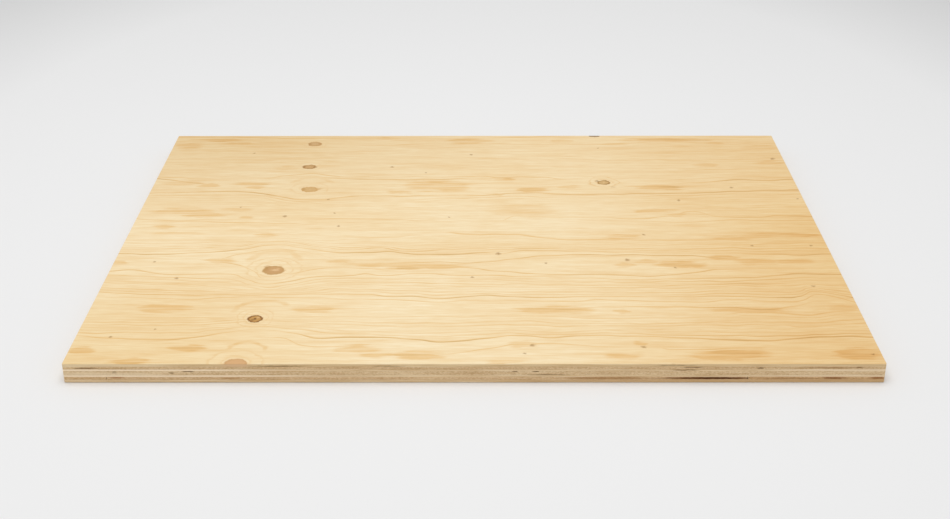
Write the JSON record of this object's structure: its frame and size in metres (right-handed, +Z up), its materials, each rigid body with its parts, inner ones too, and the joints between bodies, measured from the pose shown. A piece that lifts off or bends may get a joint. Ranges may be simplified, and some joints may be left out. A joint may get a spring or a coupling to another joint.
{
  "type": "plywood sheet",
  "caption": "Flat rectangular pine plywood panel, cross-laid veneers glued face to face, knotty sanded face and bare sawn edges that show the plies.",
  "frame": {"origin": "middle of the underside, which lies on the floor", "axes": "+X along the panel's long side and the grain of its face, +Y across the panel away from the viewer, +Z up through the thickness to the knotty face"},
  "size_m": [0.8, 0.6, 0.021],
  "materials": {
    "face_pine": "bare pine veneer, sanded smooth and matt",
    "long_grain_pine": "bare pine, sawn along the grain",
    "cross_grain_pine": "bare pine end grain, sawn",
    "back_pine": "bare pine veneer, lightly sanded and matt"
  },
  "bodies": {
    "root": {"face_veneer": "face_pine", "upper_crossband": "cross_grain_pine", "upper_long_ply": "long_grain_pine", "core_ply": "cross_grain_pine", "lower_long_ply": "long_grain_pine", "lower_crossband_left": "cross_grain_pine", "lower_crossband_middle": "cross_grain_pine", "lower_crossband_right": "cross_grain_pine", "back_veneer": "back_pine"}
  },
  "joints": []
}
